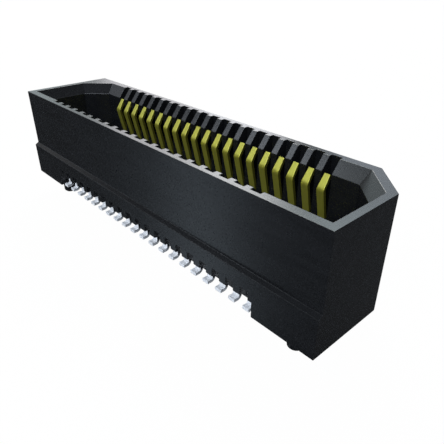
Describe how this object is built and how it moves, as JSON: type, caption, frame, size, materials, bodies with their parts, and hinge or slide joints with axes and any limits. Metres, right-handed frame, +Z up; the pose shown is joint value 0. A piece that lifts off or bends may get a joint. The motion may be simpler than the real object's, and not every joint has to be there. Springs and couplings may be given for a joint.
{
  "type": "board to board connector socket",
  "caption": "Fine-pitch surface-mount board to board socket: long black housing with a keyed cavity, two rows of plated spring contacts and alignment pins.",
  "frame": {"origin": "middle of the footprint on the surface of the circuit board that the feet stand on", "axes": "+X along the contact rows, +Y towards the long side with the cut corner, +Z up out of the board towards the mating connector"},
  "size_m": [0.022, 0.0056, 0.0062],
  "materials": {
    "black_lcp": "moulded, fine matte",
    "plated_bronze": "gold plated above, tin plated tails"
  },
  "bodies": {
    "root": {"housing": "black_lcp", "contact_front_01": "plated_bronze", "contact_front_02": "plated_bronze", "contact_front_03": "plated_bronze", "contact_front_04": "plated_bronze", "contact_front_05": "plated_bronze", "contact_front_06": "plated_bronze", "contact_front_07": "plated_bronze", "contact_front_08": "plated_bronze", "contact_front_09": "plated_bronze", "contact_front_10": "plated_bronze", "contact_front_11": "plated_bronze", "contact_front_12": "plated_bronze", "contact_front_13": "plated_bronze", "contact_front_14": "plated_bronze", "contact_front_15": "plated_bronze", "contact_front_16": "plated_bronze", "contact_front_17": "plated_bronze", "contact_front_18": "plated_bronze", "contact_front_19": "plated_bronze", "contact_front_20": "plated_bronze", "contact_rear_01": "plated_bronze", "contact_rear_02": "plated_bronze", "contact_rear_03": "plated_bronze", "contact_rear_04": "plated_bronze", "contact_rear_05": "plated_bronze", "contact_rear_06": "plated_bronze", "contact_rear_07": "plated_bronze", "contact_rear_08": "plated_bronze", "contact_rear_09": "plated_bronze", "contact_rear_10": "plated_bronze", "contact_rear_11": "plated_bronze", "contact_rear_12": "plated_bronze", "contact_rear_13": "plated_bronze", "contact_rear_14": "plated_bronze", "contact_rear_15": "plated_bronze", "contact_rear_16": "plated_bronze", "contact_rear_17": "plated_bronze", "contact_rear_18": "plated_bronze", "contact_rear_19": "plated_bronze", "contact_rear_20": "plated_bronze"}
  },
  "joints": []
}
